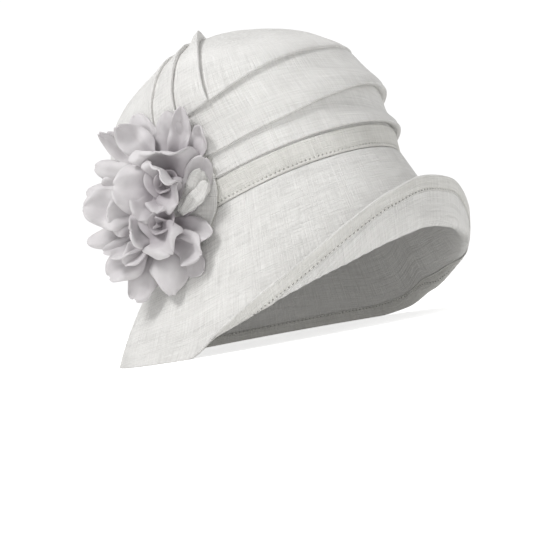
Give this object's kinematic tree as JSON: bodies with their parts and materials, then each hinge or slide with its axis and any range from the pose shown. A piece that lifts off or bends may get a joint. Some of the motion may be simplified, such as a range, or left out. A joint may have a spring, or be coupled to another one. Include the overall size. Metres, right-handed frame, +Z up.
{
  "type": "cloche hat",
  "caption": "Soft bell-shaped cloche hat with tucks round the crown, a band, a brim rolled up at the front and a flower on one side.",
  "frame": {"origin": "centre of the bounding box in plan, on the floor under the brim", "axes": "+Z up, the wearer's face towards -Y, the flower side towards -X"},
  "size_m": [0.27, 0.3098, 0.2371],
  "materials": {
    "linen": "off-white woven linen, matt",
    "linen_band": "slightly creamier off-white woven linen, matt",
    "petal_cloth": "smooth matt petal cloth with a faint lilac tint"
  },
  "bodies": {
    "root": {"brim": "linen", "brim_hem": "linen_band", "crown": "linen", "flower_backing": "linen", "hat_band": "linen_band", "leaf_tab_long": "linen", "leaf_tab_short": "linen", "lower_heart": "petal_cloth", "petal_big_left": "petal_cloth", "petal_bottom": "petal_cloth", "petal_bottom_dark": "petal_cloth", "petal_bottom_hang": "petal_cloth", "petal_bottom_roll": "petal_cloth", "petal_far_left_a": "petal_cloth", "petal_far_left_b": "petal_cloth", "petal_far_left_c": "petal_cloth", "petal_left_a": "petal_cloth", "petal_left_b": "petal_cloth", "petal_left_c": "petal_cloth", "petal_left_d": "petal_cloth", "petal_left_roll": "petal_cloth", "petal_left_slip": "petal_cloth", "petal_low_front": "petal_cloth", "petal_low_left": "petal_cloth", "petal_low_right": "petal_cloth", "petal_low_right_b": "petal_cloth", "petal_low_right_c": "petal_cloth", "petal_mid_left": "petal_cloth", "petal_right_top": "petal_cloth", "petal_right_wrap": "petal_cloth", "petal_shell": "petal_cloth", "petal_top_heart": "petal_cloth", "petal_top_left": "petal_cloth", "petal_top_right": "petal_cloth", "petal_under_upper": "petal_cloth", "petal_upper_front": "petal_cloth", "petal_upper_left": "petal_cloth", "petal_upper_low": "petal_cloth", "petal_upper_roll": "petal_cloth", "upper_heart": "petal_cloth"}
  },
  "joints": []
}
